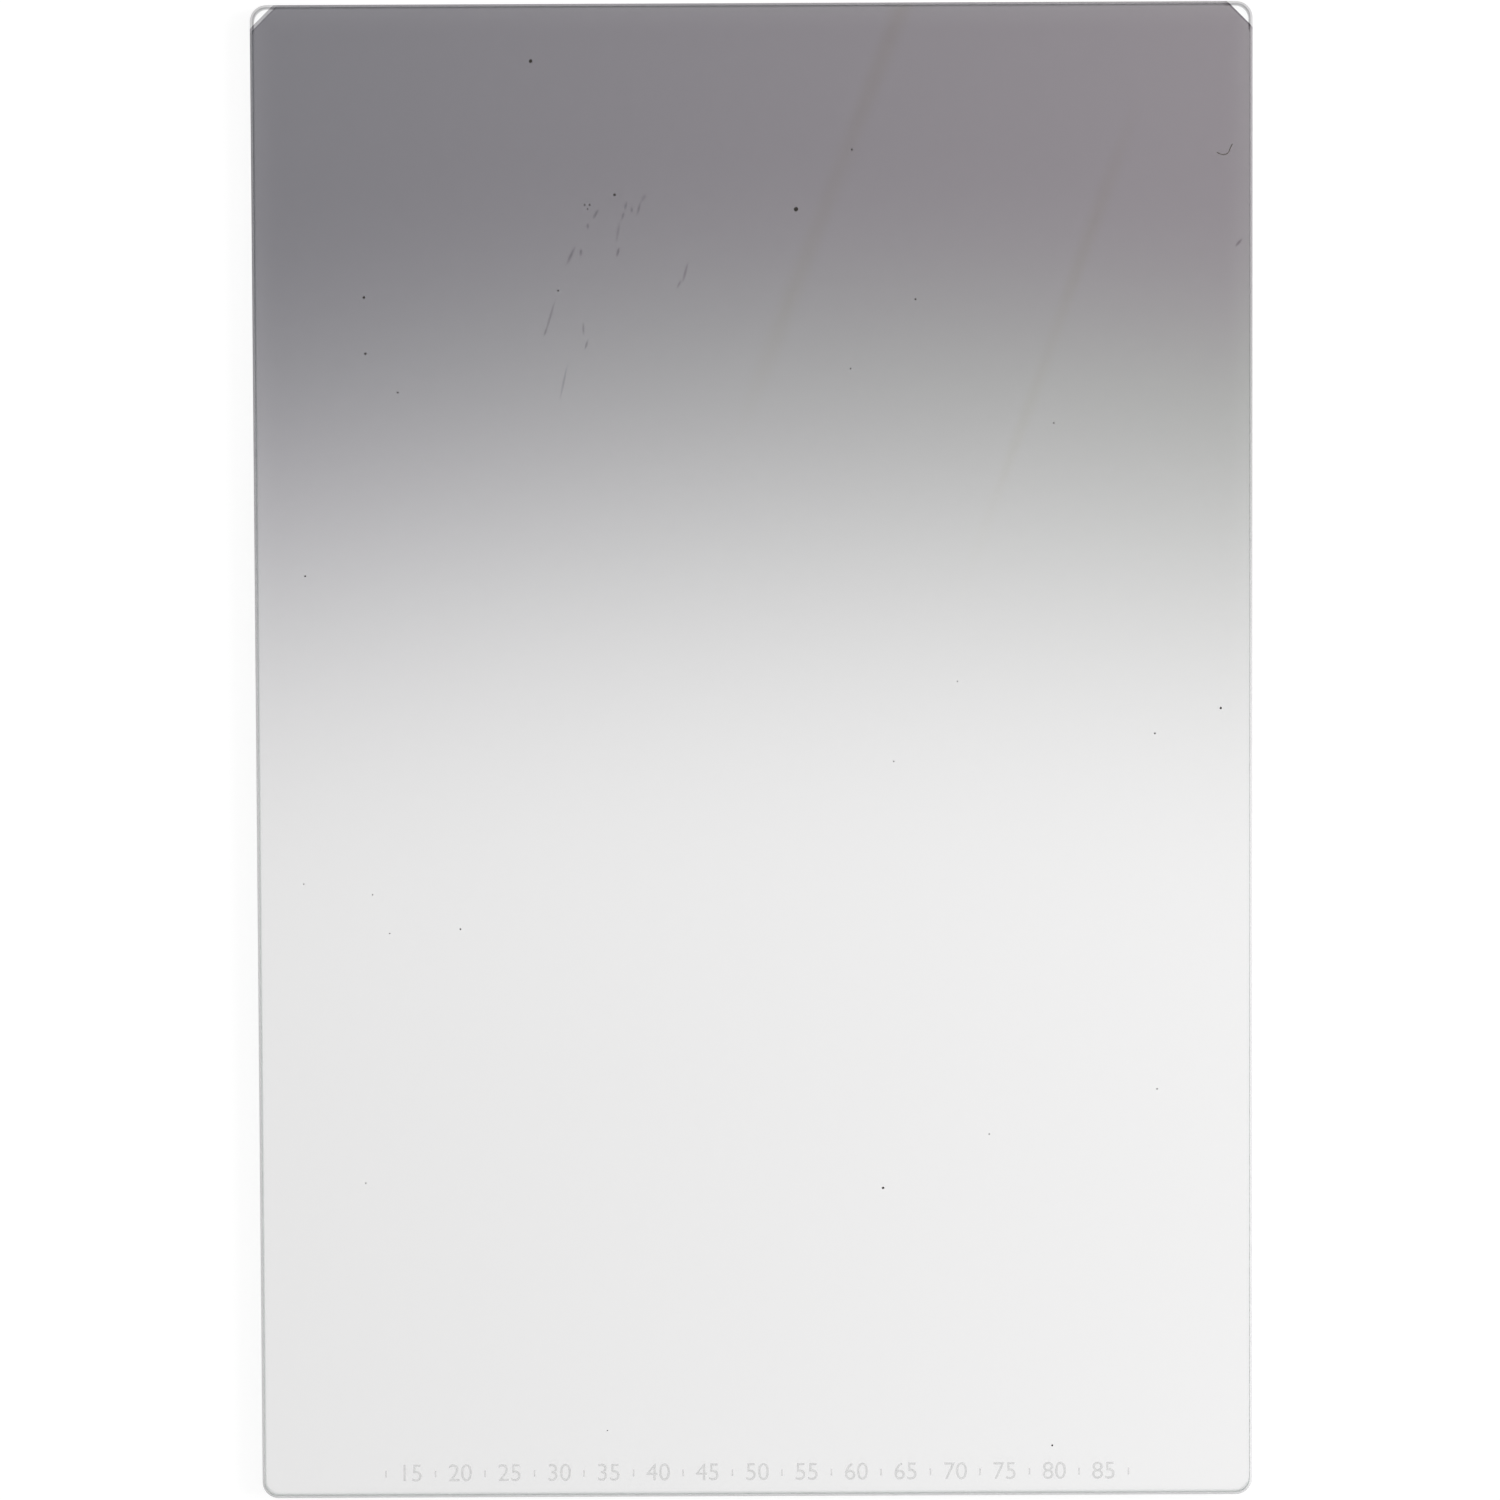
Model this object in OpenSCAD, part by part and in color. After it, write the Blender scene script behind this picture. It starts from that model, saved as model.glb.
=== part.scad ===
// Graduated neutral density filter plate, 100 x 150 mm, for a slide-in square filter holder.
// A flat glass plate with ground edges lies with its underside on z = 0. A thin metal film on
// its upper face is densest at the +Y end and fades to clear towards the -Y end.
// The origin is the centre of the underside. All sizes are in millimetres.

/* [Glass plate] */
// Width of the plate, from guide rail to guide rail
plate_w = 100; // [60:1:170]
// Length of the plate, from its clear end to its dense end
plate_l = 150; // [130:1:220]
// Thickness of the glass
plate_t = 2; // [1:0.1:4]
// Radius of the four corners, seen from above
corner_r = 1.65; // [0.8:0.05:6]
// Width of the ground bevel that runs round the upper face, which carries the film
bevel = 0.25; // [0.1:0.05:0.45]
// Width of the ground bevel that runs round the underside
back_bevel = 0.15; // [0.1:0.05:0.45]

/* [Graduated film] */
// Drawn thickness of the film, measured straight up from the glass
film_t = 0.02; // [0.01:0.001:0.1]
// Bare corner at the dense end, left: how far it reaches along each edge
bare_left = 2.4; // [1.5:0.05:8]
// Bare corner at the dense end, right: how far it reaches along each edge
bare_right = 2.6; // [1.5:0.05:8]
// Distance from the dense end to where the film begins to thin
fade_start = 14; // [10:1:20]
// Length over which the film fades
fade_l = 102; // [60:1:104]
// Number of colour fields that the fade is drawn in
fade_fields = 34; // [8:1:60]

/* [Hidden] */
$fn = 64;

// Optical density of the film at its dense end and at its clear end
dense_density = 0.64;
clear_density = 0.08;
// How late the fade sets in: above 1 it keeps a long thin tail towards the clear end
fade_power = 2.8;
// Grey of the film itself, with a slight violet cast, and the pale tint of the glass
film_colour = [0.03, 0.02, 0.035];
glass_colour = [0.88, 0.94, 0.92];
// Gamma of a screen, which turns a share of light into a share of display brightness
screen_gamma = 2.2;

// Height of a cutter that stands on the table and passes clean through plate and film
cutter_h = 2 * plate_t;

// Where the fade begins and ends along the plate
fade_top_y = plate_l / 2 - fade_start;
fade_foot_y = fade_top_y - fade_l;

// How far the centres of the round corners lie from the middle of the plate
corner_x = plate_w / 2 - corner_r;
corner_y = plate_l / 2 - corner_r;

// A smooth S-shaped rise from 0 to 1
function s_curve(t) = let (s = min(max(t, 0), 1)) s * s * (3 - 2 * s);

// Optical density of the film at a place along the plate
function film_density(y) =
    clear_density + (dense_density - clear_density)
        * pow(s_curve((y - fade_foot_y) / fade_l), fade_power);

// Where a field of the fade begins, to a whole thousandth, so that neighbours meet face to face
function field_y(i) = round(1000 * (fade_foot_y + i * fade_l / fade_fields)) / 1000;

// How opaque a field is drawn, so that it lets through its share of the light
function field_alpha(y) = 1 - pow(10, -film_density(y) / screen_gamma);

// Cross-section of the plate over a given span: a flat bar with four bevelled corners
module bevelled_section(span) {
    polygon([
        [-span / 2 + back_bevel, 0],
        [span / 2 - back_bevel, 0],
        [span / 2, back_bevel],
        [span / 2, plate_t - bevel],
        [span / 2 - bevel, plate_t],
        [-span / 2 + bevel, plate_t],
        [-span / 2, plate_t - bevel],
        [-span / 2, back_bevel]
    ]);
}

// Cross-section of the film: it follows the upper face and both upper bevels
module film_section() {
    polygon([
        [-plate_w / 2, plate_t - bevel],
        [-plate_w / 2 + bevel, plate_t],
        [plate_w / 2 - bevel, plate_t],
        [plate_w / 2, plate_t - bevel],
        [plate_w / 2, plate_t - bevel + film_t],
        [plate_w / 2 - bevel, plate_t + film_t],
        [-plate_w / 2 + bevel, plate_t + film_t],
        [-plate_w / 2, plate_t - bevel + film_t]
    ]);
}

// Cross-section of the film from the centre of a round corner out to the edge of the plate
module film_rim() {
    polygon([
        [0, plate_t],
        [corner_r - bevel, plate_t],
        [corner_r, plate_t - bevel],
        [corner_r, plate_t - bevel + film_t],
        [corner_r - bevel, plate_t + film_t],
        [0, plate_t + film_t]
    ]);
}

// Bar along Y between two places, from a section drawn across X
module bar_along_y(low_y, high_y) {
    translate([0, high_y, 0])
        rotate([90, 0, 0])
            linear_extrude(high_y - low_y)
                children();
}

// Round corner of the plate, turned about its own centre
module corner_post() {
    rotate_extrude()
        polygon([
            [0, 0],
            [corner_r - back_bevel, 0],
            [corner_r, back_bevel],
            [corner_r, plate_t - bevel],
            [corner_r - bevel, plate_t],
            [0, plate_t]
        ]);
}

// The whole plate: two crossed bars and four round corners
module plate_blank() {
    bar_along_y(-corner_y, corner_y)
        bevelled_section(plate_w);
    rotate([0, 0, 90])
        bar_along_y(-corner_x, corner_x)
            bevelled_section(plate_l);
    for (side_x = [-1, 1], side_y = [-1, 1])
        translate([side_x * corner_x, side_y * corner_y, 0])
            corner_post();
}

// Column over a corner of the dense end that the film leaves bare, cut off at 45 degrees
module bare_corner(side_x, reach) {
    translate([side_x * plate_w / 2, plate_l / 2, 0])
        rotate([0, 0, 45])
            linear_extrude(cutter_h)
                square(reach * sqrt(2), center = true);
}

// Film over the +Y end of the plate, from a place in the middle outwards: a bar, the strip
// between the corners, and a quarter turn round each corner
module film_end(inner_y) {
    bar_along_y(inner_y, corner_y)
        film_section();
    translate([-corner_x, corner_y, 0])
        rotate([90, 0, 90])
            linear_extrude(2 * corner_x)
                film_rim();
    for (side_x = [-1, 1])
        translate([side_x * corner_x, corner_y, 0])
            rotate([0, 0, side_x > 0 ? 0 : 90])
                rotate_extrude(angle = 90)
                    film_rim();
}

module glass_plate() {
    color(glass_colour, 0.5)
        plate_blank();
}

module nd_coating() {
    color(film_colour, field_alpha(fade_top_y))
        difference() {
            film_end(field_y(fade_fields));
            bare_corner(-1, bare_left);
            bare_corner(1, bare_right);
        }
    for (i = [0 : fade_fields - 1])
        color(film_colour, field_alpha((field_y(i) + field_y(i + 1)) / 2))
            bar_along_y(field_y(i), field_y(i + 1))
                film_section();
    color(film_colour, field_alpha(fade_foot_y))
        rotate([0, 0, 180])
            film_end(-field_y(0));
}

glass_plate();
nd_coating();
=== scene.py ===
import math

import bpy
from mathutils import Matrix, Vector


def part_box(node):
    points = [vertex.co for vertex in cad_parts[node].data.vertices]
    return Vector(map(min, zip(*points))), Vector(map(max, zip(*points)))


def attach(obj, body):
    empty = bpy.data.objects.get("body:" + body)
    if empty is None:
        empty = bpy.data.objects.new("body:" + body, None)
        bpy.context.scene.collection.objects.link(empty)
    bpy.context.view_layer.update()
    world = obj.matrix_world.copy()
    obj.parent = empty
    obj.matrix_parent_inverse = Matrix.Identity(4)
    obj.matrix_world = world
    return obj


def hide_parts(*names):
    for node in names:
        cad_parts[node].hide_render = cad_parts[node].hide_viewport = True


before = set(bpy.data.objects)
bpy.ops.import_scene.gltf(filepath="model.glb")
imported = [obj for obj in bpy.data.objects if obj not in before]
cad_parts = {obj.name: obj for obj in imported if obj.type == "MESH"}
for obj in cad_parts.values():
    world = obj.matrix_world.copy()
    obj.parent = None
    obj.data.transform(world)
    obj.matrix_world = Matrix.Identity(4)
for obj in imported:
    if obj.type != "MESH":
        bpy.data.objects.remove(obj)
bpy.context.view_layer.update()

# View
# The camera looks down on the plate, as on a copy stand. It leans by two degrees, which makes the
# plate a little narrower at its clear end, as the picture has it.

MM = 0.001
CAMERA_PLACE = (-0.36 * MM, 15.53 * MM, 403.05 * MM)
CAMERA_LEAN = math.radians(-2.147)
CAMERA_TURN = math.radians(-0.242)
FOCAL_LENGTH = 96
SENSOR_WIDTH = 36
NEAR_LIMIT = 10 * MM

bpy.context.scene.view_settings.view_transform = "Standard"
bpy.ops.object.camera_add(location=CAMERA_PLACE, rotation=(CAMERA_LEAN, 0, CAMERA_TURN))
camera = bpy.context.active_object
camera.data.lens = FOCAL_LENGTH
camera.data.sensor_width = SENSOR_WIDTH
camera.data.clip_start = NEAR_LIMIT
bpy.context.scene.camera = camera

# Table, daylight and lamps
# A white table fills the view and shines by itself as a light table does, so the film dims it
# once. Two soft lamps and an even sky light what stands on it and draw its shadow.

PLATE_LOW, PLATE_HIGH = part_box("glass_plate")
TABLE_SIDE = 6.0
# The table lies this far below the glass, because two surfaces in one place would flicker
TABLE_DROP = 0.05 * MM
TABLE_GLOW = 0.83
SKY_LIGHT = 0.55
# Name, place, side and power of each lamp
LAMPS = (
    ("side_lamp", (1.0, 0.1, 0.5), 0.6, 9.5),
    ("fill_lamp", (-0.55, 0.5, 0.75), 0.6, 1.2),
)


def linear(colour_hex):
    """The linear red, green, blue and alpha of an sRGB colour such as #C0C0C0."""
    shares = [int(colour_hex[i:i + 2], 16) / 255 for i in (1, 3, 5)]
    return [s / 12.92 if s <= 0.04045 else ((s + 0.055) / 1.055) ** 2.4 for s in shares] + [1.0]


def add_node(tree, kind, sockets=None, **settings):
    """Adds a node, sets it up, and gives its sockets their values or links."""
    node = tree.nodes.new(kind)
    for name, value in settings.items():
        setattr(node, name, value)
    for socket, value in (sockets or {}).items():
        if isinstance(value, bpy.types.NodeSocket):
            tree.links.new(value, node.inputs[socket])
        else:
            node.inputs[socket].default_value = value
    return node


def start_material(name):
    """An empty node material and its tree."""
    material = bpy.data.materials.new(name)
    material.use_nodes = True
    material.node_tree.nodes.clear()
    return material, material.node_tree


def seen_share(tree, path):
    """1 for rays that show something by sight or in a mirror, and 0 for the rest."""
    share = add_node(tree, "ShaderNodeMath", {
        0: path.outputs["Is Camera Ray"],
        1: path.outputs["Is Glossy Ray"],
    }, operation="MAXIMUM")
    return share.outputs[0]


bpy.ops.object.select_all(action="DESELECT")
bpy.ops.mesh.primitive_plane_add(size=TABLE_SIDE, location=(0, 0, PLATE_LOW.z - TABLE_DROP))
table = bpy.context.active_object
table.name = "table"

# White acrylic over a light box. It lights the plate as plain paint would, shows its own glow and
# the shadows to the eye, and is full white to what looks at it through the glass.
table_white, tree = start_material("white_light_table")
path = add_node(tree, "ShaderNodeLightPath")
paint = add_node(tree, "ShaderNodeBsdfDiffuse", {"Color": linear("#E8E8E8")})
glow = add_node(tree, "ShaderNodeEmission", {"Strength": TABLE_GLOW})
shaded = add_node(tree, "ShaderNodeBsdfDiffuse", {"Color": linear("#878787")})
in_sight = add_node(tree, "ShaderNodeAddShader", {0: glow.outputs[0], 1: shaded.outputs[0]})
open_table = add_node(tree, "ShaderNodeMixShader", {
    0: seen_share(tree, path),
    1: paint.outputs[0],
    2: in_sight.outputs[0],
})
under_glass = add_node(tree, "ShaderNodeEmission", {"Strength": 1.0})
table_look = add_node(tree, "ShaderNodeMixShader", {
    0: path.outputs["Is Transmission Ray"],
    1: open_table.outputs[0],
    2: under_glass.outputs[0],
})
add_node(tree, "ShaderNodeOutputMaterial", {"Surface": table_look.outputs[0]})
table.data.materials.append(table_white)

sky = bpy.data.worlds.new("studio_sky")
bpy.context.scene.world = sky
sky.use_nodes = True
sky.node_tree.nodes.clear()
path = add_node(sky.node_tree, "ShaderNodeLightPath")
seen = add_node(sky.node_tree, "ShaderNodeMath", {
    0: seen_share(sky.node_tree, path),
    1: path.outputs["Is Transmission Ray"],
}, operation="MAXIMUM")
brightness = add_node(sky.node_tree, "ShaderNodeMapRange", {
    "Value": seen.outputs[0],
    "To Min": SKY_LIGHT,
    "To Max": 1.0,
})
background = add_node(sky.node_tree, "ShaderNodeBackground", {
    "Color": (1, 1, 1, 1),
    "Strength": brightness.outputs[0],
})
add_node(sky.node_tree, "ShaderNodeOutputWorld", {"Surface": background.outputs[0]})

for lamp_name, place, side, power in LAMPS:
    bpy.ops.object.light_add(type="AREA", location=place)
    lamp = bpy.context.active_object
    lamp.name = lamp_name
    lamp.data.size = side
    lamp.data.energy = power
    lamp.rotation_euler = lamp.location.to_track_quat("Z", "Y").to_euler()

# Glass plate
# A plate of optical glass, cut from a polished sheet. Its corners are rounded and its edges and
# bevels are ground with fine grit, which leaves them frosted. It slides between two rails.

CORNER_RADIUS = 1.65 * MM
CORNER_STEPS = 16
BEVEL = 0.25 * MM
BACK_BEVEL = 0.15 * MM
# Width of the frosted ring at the rim of the flat faces, a painted dark line for the shade at the
# bevel's inner edge
ARRIS = 0.14 * MM
BARE_LEFT = 2.4 * MM
BARE_RIGHT = 2.6 * MM
CLIP_SPREAD = 0.35 * MM
# Grit of the grinding wheel, drawn three times as coarse as the real one so that it shows
GRIT = 0.12 * MM
GLASS_IOR = 1.52
GREEN_CAST = (0.04, 0.72, 0.53, 1)
GREEN_DENSITY = 6.0
PLATE_WIDTH = PLATE_HIGH.x - PLATE_LOW.x
PLATE_LENGTH = PLATE_HIGH.y - PLATE_LOW.y
PLATE_THICKNESS = PLATE_HIGH.z - PLATE_LOW.z
# Only the two polished faces are larger than this
LARGE_FACE = PLATE_WIDTH * PLATE_LENGTH / 2
# How upright the normal of a face has to be for the face to count as level
LEVEL = 0.99


def pick_faces(obj, wanted):
    """Selects the faces of obj for which wanted is true, in edit mode."""
    bpy.ops.object.mode_set(mode="OBJECT")
    bpy.context.tool_settings.mesh_select_mode = (False, False, True)
    for part in (obj.data.vertices, obj.data.edges):
        part.foreach_set("select", [False] * len(part))
    for face in obj.data.polygons:
        face.select = bool(wanted(face))
    bpy.ops.object.mode_set(mode="EDIT")


bpy.ops.object.select_all(action="DESELECT")
bpy.ops.mesh.primitive_plane_add(size=1)
plate = bpy.context.active_object
plate.name = "clear_plate"
bpy.ops.object.mode_set(mode="EDIT")
bpy.ops.transform.resize(value=(PLATE_WIDTH, PLATE_LENGTH, 1), center_override=(0, 0, 0))
bpy.ops.transform.translate(value=(0, 0, PLATE_LOW.z + BACK_BEVEL))
bpy.ops.mesh.bevel(offset=CORNER_RADIUS, segments=CORNER_STEPS, affect="VERTICES")
bpy.ops.mesh.select_all(action="SELECT")
edge_height = PLATE_THICKNESS - BACK_BEVEL - BEVEL
bpy.ops.mesh.extrude_region_move(TRANSFORM_OT_translate={"value": (0, 0, edge_height)})
bpy.ops.mesh.select_all(action="SELECT")
bpy.ops.mesh.normals_make_consistent(inside=False)


def flat(face):
    """True for the faces that lie level."""
    return abs(face.normal.z) > LEVEL


pick_faces(plate, lambda face: face.normal.z > LEVEL)
bpy.ops.mesh.inset(thickness=BEVEL, depth=BEVEL, use_individual=True)
pick_faces(plate, lambda face: face.normal.z < -LEVEL)
bpy.ops.mesh.inset(thickness=BACK_BEVEL, depth=BACK_BEVEL, use_individual=True)
pick_faces(plate, flat)
bpy.ops.mesh.inset(thickness=ARRIS, use_individual=True)
# A cut through all but the two large faces gives each bare corner an outline of its own.
for side, reach in ((-1, BARE_LEFT), (1, BARE_RIGHT)):
    pick_faces(plate, lambda face: face.area < LARGE_FACE)
    bpy.ops.mesh.bisect(
        plane_co=(side * PLATE_WIDTH / 2, PLATE_LENGTH / 2 - reach - CLIP_SPREAD, 0),
        plane_no=(side, 1, 0),
    )
bpy.ops.object.mode_set(mode="OBJECT")

# Polished optical glass: clear and smooth, with a green cast only where it is seen edge on.
polished, tree = start_material("polished_optical_glass")
glass = add_node(tree, "ShaderNodeBsdfPrincipled", {
    "Base Color": (1, 1, 1, 1),
    "Roughness": 0.0,
    "IOR": GLASS_IOR,
    "Transmission Weight": 1.0,
})
green_depth = add_node(tree, "ShaderNodeVolumeAbsorption", {
    "Color": GREEN_CAST,
    "Density": GREEN_DENSITY,
})
add_node(tree, "ShaderNodeOutputMaterial", {
    "Surface": glass.outputs[0],
    "Volume": green_depth.outputs[0],
})

# Ground glass: grit leaves it frosted, so it scatters light and looks a pale even grey. The grey is
# painted into its colour, as painted shade for the light that the grit scatters away.


def ground_glass(name, colour_hex, clear_share):
    """A frosted glass of the given colour, with a grain as fine as the grit."""
    material, nodes = start_material(name)
    place = add_node(nodes, "ShaderNodeTexCoord")
    grain = add_node(nodes, "ShaderNodeTexNoise", {
        "Vector": place.outputs["Object"],
        "Scale": 1 / GRIT,
        "Detail": 3.0,
    })
    roughness = add_node(nodes, "ShaderNodeMapRange", {
        "Value": grain.outputs[0],
        "To Min": 0.3,
        "To Max": 0.5,
    })
    bumps = add_node(nodes, "ShaderNodeBump", {
        "Height": grain.outputs[0],
        "Strength": 0.1,
        "Distance": GRIT / 4,
    })
    frosted = add_node(nodes, "ShaderNodeBsdfPrincipled", {
        "Base Color": linear(colour_hex),
        "Roughness": roughness.outputs[0],
        "IOR": GLASS_IOR,
        "Transmission Weight": clear_share,
        "Normal": bumps.outputs[0],
    })
    depth = add_node(nodes, "ShaderNodeVolumeAbsorption", {
        "Color": GREEN_CAST,
        "Density": GREEN_DENSITY,
    })
    add_node(nodes, "ShaderNodeOutputMaterial", {
        "Surface": frosted.outputs[0],
        "Volume": depth.outputs[0],
    })
    return material


plate.data.materials.append(polished)
plate.data.materials.append(ground_glass("ground_glass_edge", "#E8EBEA", 0.9))
# The frosted rim ring is painted shade: a dark line where refraction shades the bevel's inner edge.
plate.data.materials.append(ground_glass("frosted_rim_painted_shade", "#EEF1F0", 0.93))
# In the bare corners the frosted glass is painted a darker grey and lets less through, as painted
# shade.
plate.data.materials.append(ground_glass("ground_glass_bare_painted_shade", "#C0BEC0", 0.75))
POLISHED, GROUND, PAINTED_SHADE_RIM, BARE = range(4)


def bare_reach(point):
    """How deep a point lies in a corner that a clip kept bare, from 0 at the clip's outline."""
    reach = CLIP_SPREAD + (BARE_LEFT if point.x < 0 else BARE_RIGHT)
    return reach - (PLATE_WIDTH / 2 - abs(point.x)) - (PLATE_LENGTH / 2 - point.y)


for face in plate.data.polygons:
    on_right = face.center.x > PLATE_WIDTH / 2 - BEVEL - ARRIS
    if face.area > LARGE_FACE:
        face.material_index = POLISHED
    elif bare_reach(face.center) > 0:
        face.material_index = BARE
    elif flat(face):
        # The rim of the flat faces is frosted as a painted dark line, for the shade that refraction
        # gives at the bevel's inner edge, on all sides but the right one, which the light from that
        # side brightens.
        face.material_index = POLISHED if on_right else PAINTED_SHADE_RIM
    else:
        face.material_index = GROUND
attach(plate, "root")
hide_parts("glass_plate")

# Graduated film
# Metal evaporated onto the upper face in a vacuum, behind a moving mask, so that it fades along
# the plate. Clips held the plate by two corners of its dense end, which stayed bare.

FILM_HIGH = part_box("nd_coating")[1]
# The film lies this far above the glass, because two surfaces in one place would flicker
FILM_GAP = 0.005 * MM
FILM_THICKNESS = FILM_HIGH.z - PLATE_HIGH.z - FILM_GAP
FADE_FOOT = -34.3 * MM
FADE_TOP = 61.9 * MM
FADE_POWER = 2.5
FADE_TILT = 0.3 * MM
FADE_BOW = 3.75 * MM
# The film thins to this share of its thickness over this distance from the edges
EDGE_SHARE = 0.93
THIN_EDGE = 3.0 * MM
# Thickness at which the violet cast sets in, and at which it is full
VIOLET_FROM = 0.6
VIOLET_FULL = 1.05
# Upward share of the normal of a 45 degree bevel, and the play that is allowed either side of it
BEVEL_SLOPE = math.sqrt(0.5)
SLOPE_SPREAD = 0.1
BEVEL_HAZE = 0.25
# Lines that the clips left: side, distance along the edges, half width, change of thickness
CLIP_LINES = (
    (-1, 2.61 * MM, 0.22 * MM, -0.56),
    (-1, 2.92 * MM, 0.09 * MM, 0.20),
    (1, 2.70 * MM, 0.12 * MM, 0.40),
)
# Hairline marks in the dense end: place, length and width in millimetres, lean in degrees, and
# added thickness. The finest are drawn a little wider than the real ones so that they show.
STROKES = (
    (-18.1, 50.0, 2.3, 0.42, -25, 0.38),
    (-17.1, 50.3, 0.9, 0.40, 0, 0.38),
    (-20.2, 43.9, 4.2, 0.36, -17, 0.26),
    (-20.7, 42.4, 1, 0.36, -20, 0.27),
    (-16.9, 42.7, 1.6, 0.34, 0, 0.26),
    (-16.6, 41.1, 1.3, 0.36, -18, 0.29),
    (-18.9, 37.4, 4.2, 0.36, -12, 0.20),
    (-15.6, 54.1, 1.3, 0.38, -30, 0.36),
    (-16.4, 52.9, 0.7, 0.38, 0, 0.38),
    (-12.6, 54.9, 1.1, 0.38, -10, 0.28),
    (-12.9, 53.9, 1.1, 0.36, -15, 0.29),
    (-13.4, 52.3, 2.4, 0.36, -10, 0.21),
    (-13.4, 50.3, 1.1, 0.38, -15, 0.44),
    (-11.3, 54.6, 1.6, 0.36, -15, 0.27),
    (-10.8, 55.7, 1.2, 0.50, -30, 0.18),
    (-12.0, 54.5, 0.7, 0.38, 0, 0.30),
    (-6.7, 48.2, 2.4, 0.36, -15, 0.30),
    (-7.3, 47.1, 1.1, 0.36, -25, 0.24),
    (48.6, 51.0, 1.2, 0.38, -40, 0.52),
)
# Two faint yellowish streaks that a cloth left, each a run of three ovals: place, length and width
# in millimetres, lean in degrees, and strength
WIPES = (
    (14.8, 74.0, 30, 2.9, -21, 1.05),
    (9.4, 60.1, 30, 2.8, -21, 0.75),
    (3.6, 45.1, 30, 2.8, -21, 0.8),
    (34.2, 53.3, 28, 2.3, -20, 0.95),
    (29.2, 39.1, 28, 2.0, -20, 0.5),
    (25.1, 27.9, 28, 1.9, -20, 0.35),
)

bpy.ops.object.select_all(action="DESELECT")
plate.select_set(True)
bpy.context.view_layer.objects.active = plate
bpy.ops.object.duplicate()
film = bpy.context.active_object
film.name = "graduated_film"
film.parent = None
for key in list(film.keys()):
    del film[key]
film.data.materials.clear()
# The film covers what looks up: the flat face with its rim, and the bevel.
pick_faces(film, lambda face: face.normal.z < BEVEL_SLOPE - SLOPE_SPREAD)
bpy.ops.mesh.delete(type="FACE")
for side, reach in ((-1, BARE_LEFT), (1, BARE_RIGHT)):
    bpy.ops.mesh.select_all(action="SELECT")
    bpy.ops.mesh.bisect(
        plane_co=(side * PLATE_WIDTH / 2, PLATE_LENGTH / 2 - reach, 0),
        plane_no=(side, 1, 0),
        clear_outer=True,
    )
bpy.ops.mesh.select_all(action="SELECT")
bpy.ops.transform.translate(value=(0, 0, FILM_GAP))
bpy.ops.mesh.extrude_region_move(TRANSFORM_OT_translate={"value": (0, 0, FILM_THICKNESS)})
bpy.ops.mesh.select_all(action="SELECT")
bpy.ops.mesh.normals_make_consistent(inside=False)
bpy.ops.object.mode_set(mode="OBJECT")

# Neutral density film: a clear grey that each of its two surfaces gives half of, dense and faintly
# violet at one end. Its thickness is the power to which the grey is raised.
grey, tree = start_material("evaporated_metal_film")
place = add_node(tree, "ShaderNodeTexCoord")
axes = add_node(tree, "ShaderNodeSeparateXYZ", {0: place.outputs["Object"]})
# Share of the way from the left edge to the right, by which the film is painted lighter on the
# right, as painted light from that side.
across = add_node(tree, "ShaderNodeMapRange", {
    "Value": axes.outputs["X"],
    "From Min": -PLATE_WIDTH / 2,
    "From Max": PLATE_WIDTH / 2,
})
# The fade runs along the plate. It tilts a little and bows towards the sides.
tilted = add_node(tree, "ShaderNodeMath", {
    0: axes.outputs["X"],
    1: -FADE_TILT / (PLATE_WIDTH / 2),
    2: axes.outputs["Y"],
}, operation="MULTIPLY_ADD")
x_squared = add_node(tree, "ShaderNodeMath", {
    0: axes.outputs["X"],
    1: axes.outputs["X"],
}, operation="MULTIPLY")
bowed = add_node(tree, "ShaderNodeMath", {
    0: x_squared.outputs[0],
    1: FADE_BOW / (PLATE_WIDTH / 2) ** 2,
    2: tilted.outputs[0],
}, operation="MULTIPLY_ADD")
fade = add_node(tree, "ShaderNodeMapRange", {
    "Value": bowed.outputs[0],
    "From Min": FADE_FOOT,
    "From Max": FADE_TOP,
}, interpolation_type="SMOOTHSTEP")
fade_shape = add_node(tree, "ShaderNodeMath", {
    0: fade.outputs[0],
    1: FADE_POWER,
}, operation="POWER")
# Close to the edges the film is a little thinner.
off_centre = add_node(tree, "ShaderNodeMath", {0: axes.outputs["X"]}, operation="ABSOLUTE")
from_side = add_node(tree, "ShaderNodeMath", {
    0: PLATE_WIDTH / 2,
    1: off_centre.outputs[0],
}, operation="SUBTRACT")
from_end = add_node(tree, "ShaderNodeMath", {
    0: PLATE_LENGTH / 2,
    1: axes.outputs["Y"],
}, operation="SUBTRACT")
from_edge = add_node(tree, "ShaderNodeMath", {
    0: from_side.outputs[0],
    1: from_end.outputs[0],
}, operation="MINIMUM")
edge = add_node(tree, "ShaderNodeMapRange", {
    "Value": from_edge.outputs[0],
    "From Max": THIN_EDGE,
    "To Min": EDGE_SHARE,
    "To Max": 1.0,
}, interpolation_type="SMOOTHSTEP")
thickness = add_node(tree, "ShaderNodeMath", {
    0: fade_shape.outputs[0],
    1: edge.outputs[0],
}, operation="MULTIPLY")

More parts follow.
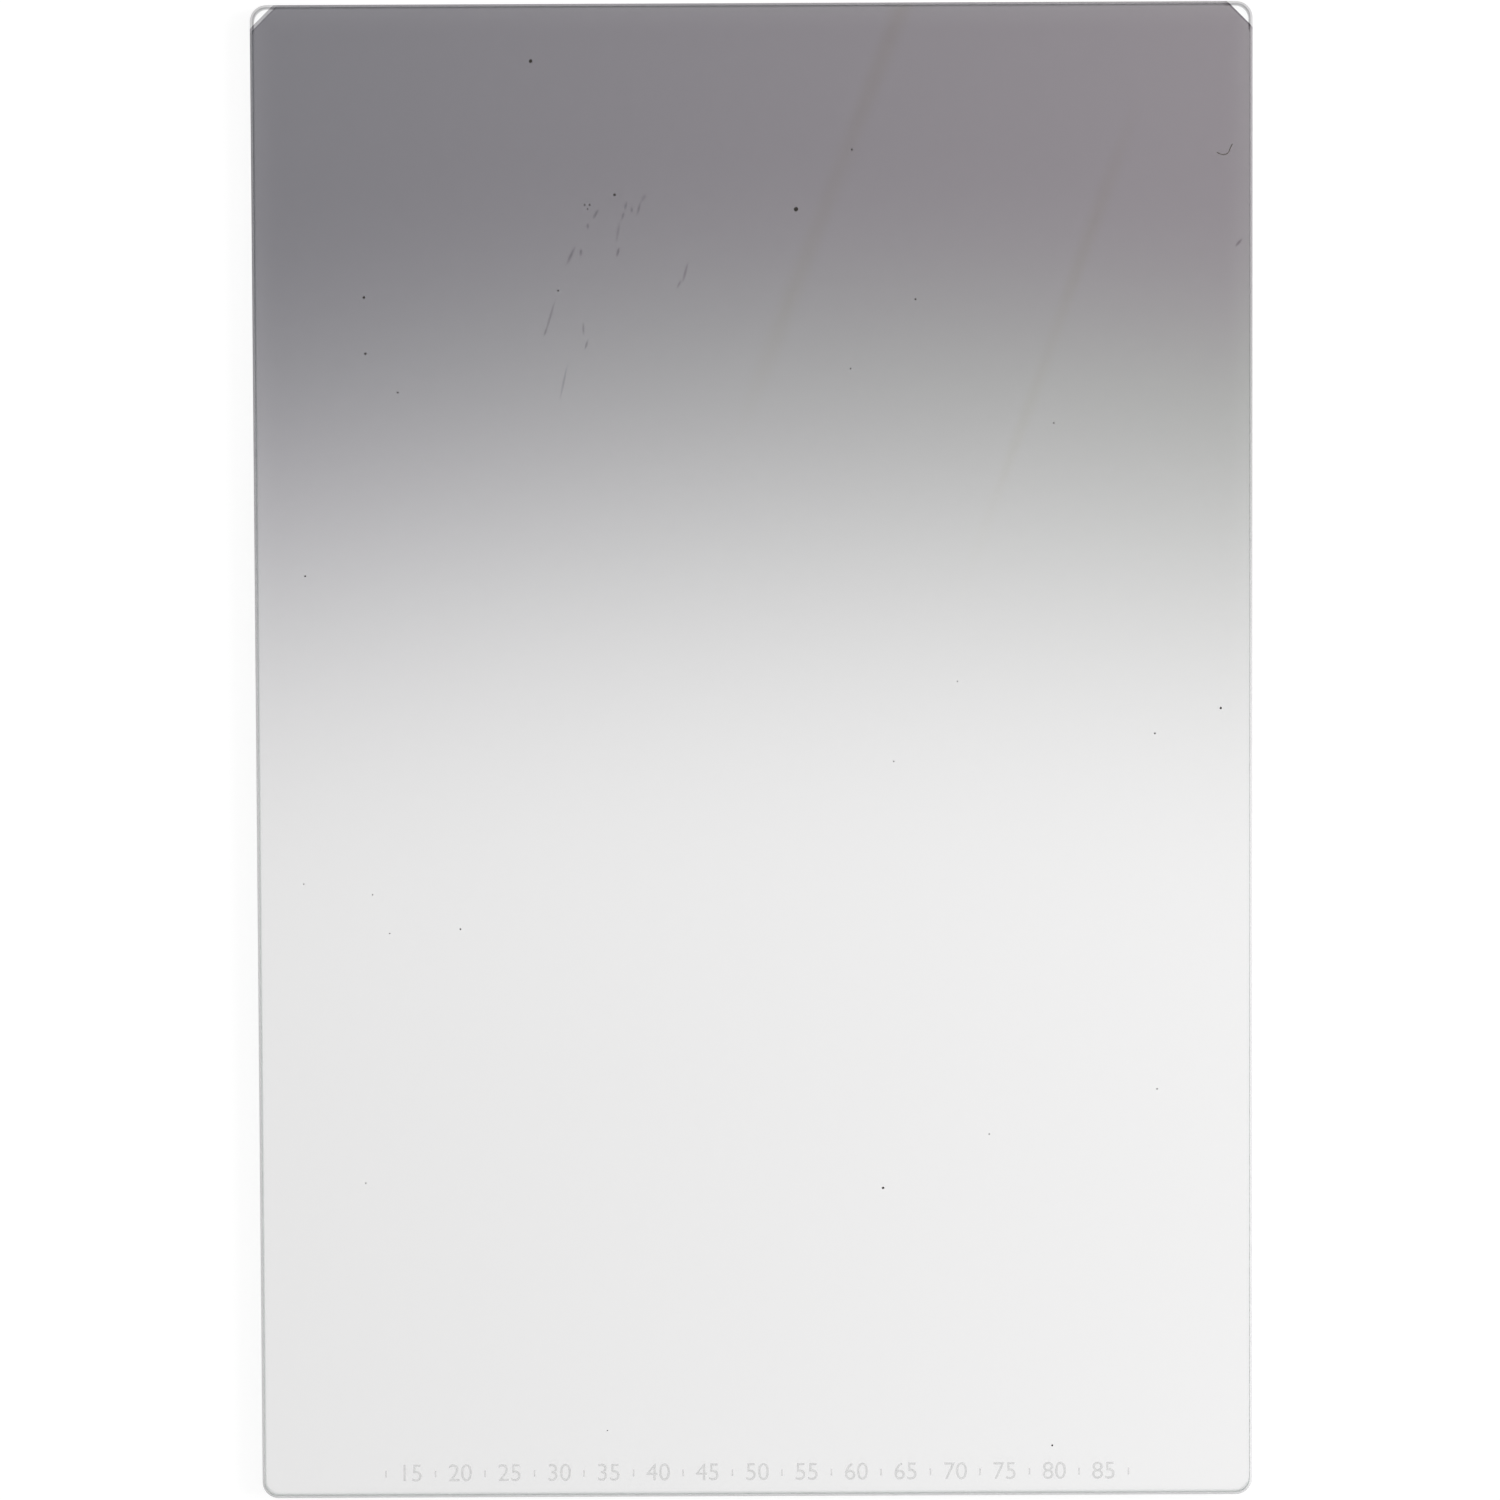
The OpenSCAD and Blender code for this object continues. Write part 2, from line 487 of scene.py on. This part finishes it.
# Each line runs at 45 degrees, beside the corner that its clip kept bare.
for side, distance, half_width, change in CLIP_LINES:
    towards_corner = add_node(tree, "ShaderNodeMath", {
        0: axes.outputs["X"],
        1: side,
        2: axes.outputs["Y"],
    }, operation="MULTIPLY_ADD")
    line = add_node(tree, "ShaderNodeMath", {
        0: towards_corner.outputs[0],
        1: (PLATE_WIDTH + PLATE_LENGTH) / 2 - distance,
        2: half_width,
    }, operation="COMPARE")
    factor = add_node(tree, "ShaderNodeMath", {
        0: line.outputs[0],
        1: change,
        2: 1.0,
    }, operation="MULTIPLY_ADD")
    thickness = add_node(tree, "ShaderNodeMath", {
        0: thickness.outputs[0],
        1: factor.outputs[0],
    }, operation="MULTIPLY")


def soft_mark(x, y, length, width, lean):
    """1 in the middle of an oval on the film, falling to 0 at its rim; sizes in mm."""
    local = add_node(tree, "ShaderNodeMapping", {
        "Vector": place.outputs["Object"],
        "Location": (x * MM, y * MM, FILM_HIGH.z),
        "Rotation": (0, 0, math.radians(lean)),
        "Scale": (width / 2 * MM, length / 2 * MM, 1),
    }, vector_type="TEXTURE")
    oval = add_node(tree, "ShaderNodeTexGradient", {
        "Vector": local.outputs[0],
    }, gradient_type="SPHERICAL")
    return oval.outputs["Fac"]


for *spot, added in STROKES:
    thickness = add_node(tree, "ShaderNodeMath", {
        0: soft_mark(*spot),
        1: added,
        2: thickness.outputs[0],
    }, operation="MULTIPLY_ADD")
# The dense grey is painted lighter on the right, as painted light for the light that falls from
# that side, and there it turns violet with thickness.
violet = add_node(tree, "ShaderNodeMapRange", {
    "Value": thickness.outputs[0],
    "From Min": VIOLET_FROM,
    "From Max": VIOLET_FULL,
}, interpolation_type="SMOOTHSTEP")
dense_right = add_node(tree, "ShaderNodeMix", {
    "Factor": violet.outputs[0],
    "A": linear("#A0A19F"),
    "B": linear("#9D979C"),
}, data_type="RGBA")
dense = add_node(tree, "ShaderNodeMix", {
    "Factor": across.outputs[0],
    "A": linear("#8E8D92"),
    "B": dense_right.outputs["Result"],
}, data_type="RGBA")
dense_share = add_node(tree, "ShaderNodeGamma", {
    "Color": dense.outputs["Result"],
    "Gamma": thickness.outputs[0],
})
# The clear end is painted lighter on the right too, as painted light.
clear = add_node(tree, "ShaderNodeMix", {
    "Factor": across.outputs[0],
    "A": linear("#E9E8E8"),
    "B": linear("#F4F3F3"),
}, data_type="RGBA")
whole = add_node(tree, "ShaderNodeMix", {
    "Factor": 1.0,
    "A": dense_share.outputs[0],
    "B": clear.outputs["Result"],
}, data_type="RGBA", blend_type="MULTIPLY")
# The cloth's streaks take a trace of the blue out of the light.
streak_share = 0.0
for *spot, strength in WIPES:
    streak_share = add_node(tree, "ShaderNodeMath", {
        0: soft_mark(*spot),
        1: strength,
        2: streak_share,
    }, operation="MULTIPLY_ADD").outputs[0]
wiped = add_node(tree, "ShaderNodeMix", {
    "Factor": streak_share,
    "A": whole.outputs["Result"],
    "B": linear("#FBFAF6"),
}, data_type="RGBA", blend_type="MULTIPLY")
one_surface = add_node(tree, "ShaderNodeGamma", {
    "Color": wiped.outputs["Result"],
    "Gamma": 0.5,
})
# A small share of the light is mirrored, on the film's outside alone and most at a slant.
see_through = add_node(tree, "ShaderNodeBsdfTransparent", {"Color": one_surface.outputs[0]})
shine = add_node(tree, "ShaderNodeBsdfGlossy", {
    "Color": linear("#D9D2E6"),
    "Roughness": 0.02,
})
fresnel = add_node(tree, "ShaderNodeFresnel", {"IOR": 1.25})
facing = add_node(tree, "ShaderNodeNewGeometry")
shine_share = add_node(tree, "ShaderNodeMath", {
    0: fresnel.outputs[0],
    1: facing.outputs["Backfacing"],
}, operation="SUBTRACT", use_clamp=True)
smooth_film = add_node(tree, "ShaderNodeMixShader", {
    0: shine_share.outputs[0],
    1: see_through.outputs[0],
    2: shine.outputs[0],
})
# On the ground bevel the film lies over the grit, so it is hazy there and catches the room's light.
slope = add_node(tree, "ShaderNodeSeparateXYZ", {0: facing.outputs["True Normal"]})
on_bevel = add_node(tree, "ShaderNodeMath", {
    0: slope.outputs["Z"],
    1: BEVEL_SLOPE,
    2: SLOPE_SPREAD,
}, operation="COMPARE")
haze_share = add_node(tree, "ShaderNodeMath", {
    0: on_bevel.outputs[0],
    1: BEVEL_HAZE,
}, operation="MULTIPLY")
haze = add_node(tree, "ShaderNodeBsdfDiffuse", {"Color": linear("#E6E4E6")})
film_look = add_node(tree, "ShaderNodeMixShader", {
    0: haze_share.outputs[0],
    1: smooth_film.outputs[0],
    2: haze.outputs[0],
})
add_node(tree, "ShaderNodeOutputMaterial", {"Surface": film_look.outputs[0]})
film.data.materials.append(grey)
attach(film, "root")
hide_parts("nd_coating")

# Printed scale
# A line of small grey figures printed on the film near the clear end, with ink as thin as paint.
# They count the millimetres across the plate, from its left edge.

PRINT_Y = -72.55 * MM
INK_LIFT = 0.002 * MM
INK_Z = FILM_HIGH.z + INK_LIFT
FIGURE_SIZE = 2.5 * MM
FIGURE_STEP = 5
FIRST_FIGURE = 15
LAST_FIGURE = 85
TICK_WIDTH = 0.16 * MM
TICK_LENGTH = 0.7 * MM
# Mesh of the printing screen, drawn three times as coarse as the real one so that it shows
INK_GRAIN = 0.25 * MM

bpy.ops.object.select_all(action="DESELECT")
figures = []
for number in range(FIRST_FIGURE, LAST_FIGURE + 1, FIGURE_STEP):
    figure_x = PLATE_LOW.x + number * MM
    bpy.ops.object.text_add(location=(figure_x, PRINT_Y, INK_Z))
    figure = bpy.context.active_object
    figure.data.body = str(number)
    figure.data.size = FIGURE_SIZE
    figure.data.align_x = "CENTER"
    figure.data.align_y = "CENTER"
    figures.append(figure)
for figure in figures:
    figure.select_set(True)
bpy.ops.object.convert(target="MESH")
for number in range(FIRST_FIGURE, LAST_FIGURE + 2 * FIGURE_STEP, FIGURE_STEP):
    tick_place = (PLATE_LOW.x + (number - FIGURE_STEP / 2) * MM, PRINT_Y, INK_Z)
    bpy.ops.mesh.primitive_plane_add(size=1, location=tick_place)
    tick = bpy.context.active_object
    bpy.ops.object.mode_set(mode="EDIT")
    bpy.ops.transform.resize(value=(TICK_WIDTH, TICK_LENGTH, 1), center_override=tick_place)
    bpy.ops.object.mode_set(mode="OBJECT")
    figures.append(tick)
for figure in figures:
    figure.select_set(True)
bpy.context.view_layer.objects.active = figures[0]
bpy.ops.object.join()
bpy.ops.object.transform_apply(location=True, rotation=True, scale=True)
scale_print = bpy.context.active_object
scale_print.name = "printed_scale"
scale_print.data.materials.clear()

# Screen-printing ink in pale grey: so thin that the table's light comes through it.
ink, tree = start_material("thin_grey_screen_ink")
place = add_node(tree, "ShaderNodeTexCoord")
grain = add_node(tree, "ShaderNodeTexNoise", {
    "Vector": place.outputs["Object"],
    "Scale": 1 / INK_GRAIN,
    "Detail": 2.0,
})
cover = add_node(tree, "ShaderNodeMapRange", {
    "Value": grain.outputs[0],
    "To Min": 0.25,
    "To Max": 0.65,
})
bare_film = add_node(tree, "ShaderNodeBsdfTransparent", {"Color": (1, 1, 1, 1)})
pigment = add_node(tree, "ShaderNodeBsdfPrincipled", {
    "Base Color": linear("#BDBDBD"),
    "Roughness": 0.7,
})
printed = add_node(tree, "ShaderNodeMixShader", {
    0: cover.outputs[0],
    1: bare_film.outputs[0],
    2: pigment.outputs[0],
})
add_node(tree, "ShaderNodeOutputMaterial", {"Surface": printed.outputs[0]})
scale_print.data.materials.append(ink)
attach(scale_print, "root")

# Dust specks
# House dust that settled on the film: flat crumbs, a tenth to nearly half a millimetre across.
# No two have the same shape, so each is a ball of its own that is dented and pressed flat.

CRUMB_HEIGHT = 0.05 * MM
# How deep the dents go, and how high they leave a ball, as shares of its width
DENT = 0.12
DENTED_HEIGHT = 1.25
SOIL_GRAIN = 0.05 * MM
# Place and width in millimetres
CRUMBS = (
    (4.4, 54.5, 0.44),
    (-22.0, 69.3, 0.36),
    (-13.7, 56.0, 0.26),
    (-38.8, 45.9, 0.26),
    (-38.7, 40.3, 0.24),
    (12.8, -43.7, 0.26),
    (46.8, 4.5, 0.24),
    (29.8, -69.9, 0.20),
    (-19.4, 46.5, 0.18),
    (-16.2, 55.0, 0.18),
    (-16.7, 55.0, 0.16),
    (-44.9, 18.1, 0.18),
    (40.2, 2.0, 0.18),
    (16.3, 45.5, 0.19),
    (10.0, 60.4, 0.19),
    (-16.4, 54.6, 0.15),
    (-29.6, -17.4, 0.17),
    (40.4, -33.8, 0.15),
    (-35.5, 36.4, 0.16),
    (-39.3, -43.0, 0.14),
    (23.5, -38.3, 0.14),
    (14.0, -0.7, 0.14),
    (30.1, 33.1, 0.15),
    (-45.3, -12.8, 0.13),
    (-36.7, -17.8, 0.13),
    (-38.4, -13.9, 0.13),
    (-15.1, -68.2, 0.13),
    (9.8, 38.6, 0.14),
    (20.4, 7.3, 0.12),
)

bpy.ops.object.select_all(action="DESELECT")
crumbs = []
for number, (x, y, width) in enumerate(CRUMBS):
    centre = (x * MM, y * MM, FILM_HIGH.z + CRUMB_HEIGHT / 2)
    bpy.ops.mesh.primitive_ico_sphere_add(subdivisions=2, radius=width / 2 * MM, location=centre)
    crumb = bpy.context.active_object
    bpy.ops.object.mode_set(mode="EDIT")
    bpy.ops.transform.vertex_random(offset=width * DENT * MM, seed=number + 1)
    flatness = CRUMB_HEIGHT / (width * DENTED_HEIGHT * MM)
    bpy.ops.transform.resize(value=(1, 1, flatness), center_override=centre)
    bpy.ops.object.mode_set(mode="OBJECT")
    crumbs.append(crumb)
for crumb in crumbs:
    crumb.select_set(True)
bpy.ops.object.join()
bpy.ops.object.transform_apply(location=True, rotation=True, scale=True)
dust = bpy.context.active_object
dust.name = "dust_specks"

# Dust: dull, nearly black where light comes from below, and mottled like soil.
soil, tree = start_material("settled_dust")
place = add_node(tree, "ShaderNodeTexCoord")
mottle = add_node(tree, "ShaderNodeTexNoise", {
    "Vector": place.outputs["Object"],
    "Scale": 1 / SOIL_GRAIN,
    "Detail": 2.0,
})
soil_colour = add_node(tree, "ShaderNodeMix", {
    "Factor": mottle.outputs[0],
    "A": linear("#161412"),
    "B": linear("#3A3632"),
}, data_type="RGBA")
dull = add_node(tree, "ShaderNodeBsdfPrincipled", {
    "Base Color": soil_colour.outputs["Result"],
    "Roughness": 0.95,
})
add_node(tree, "ShaderNodeOutputMaterial", {"Surface": dull.outputs[0]})
dust.data.materials.append(soil)
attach(dust, "root")

# Lint fibre
# One short grey cotton fibre, shed by a cleaning cloth. It lies loose on the film near the dense
# right corner, bent into a hook and pressed flat.

FIBRE_WIDTH = 0.12 * MM
FIBRE_HEIGHT = 0.06 * MM
# Length in which the cotton turns about three times, as the wave node draws it
THREE_TURNS = 0.6 * MM
# Points along the fibre in millimetres
FIBRE_POINTS = ((46.4, 60.0), (46.8, 59.7), (47.55, 59.8), (47.8, 60.55), (47.95, 60.8))

bpy.ops.object.select_all(action="DESELECT")
bpy.ops.curve.primitive_nurbs_path_add()
fibre = bpy.context.active_object
fibre.name = "lint_fibre"
for point, (x, y) in zip(fibre.data.splines[0].points, FIBRE_POINTS):
    point.co = (x * MM, y * MM, FILM_HIGH.z + FIBRE_WIDTH / 2, 1)
fibre.data.splines[0].order_u = 3
fibre.data.bevel_depth = FIBRE_WIDTH / 2
fibre.data.bevel_resolution = 2
fibre.data.use_fill_caps = True
bpy.ops.object.convert(target="MESH")
bpy.ops.object.mode_set(mode="EDIT")
bpy.ops.mesh.select_all(action="SELECT")
flatness = FIBRE_HEIGHT / FIBRE_WIDTH
bpy.ops.transform.resize(value=(1, 1, flatness), center_override=(0, 0, FILM_HIGH.z))
bpy.ops.object.mode_set(mode="OBJECT")

# Cotton: matt and grey, with a twist that shades it in fine bands.
cotton, tree = start_material("grey_cotton_lint")
place = add_node(tree, "ShaderNodeTexCoord")
twist = add_node(tree, "ShaderNodeTexWave", {
    "Vector": place.outputs["Object"],
    "Scale": 1 / THREE_TURNS,
    "Distortion": 3.0,
})
cotton_colour = add_node(tree, "ShaderNodeMix", {
    "Factor": twist.outputs["Fac"],
    "A": linear("#565250"),
    "B": linear("#726D6A"),
}, data_type="RGBA")
matt = add_node(tree, "ShaderNodeBsdfPrincipled", {
    "Base Color": cotton_colour.outputs["Result"],
    "Roughness": 0.9,
})
add_node(tree, "ShaderNodeOutputMaterial", {"Surface": matt.outputs[0]})
fibre.data.materials.append(cotton)
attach(fibre, "root")
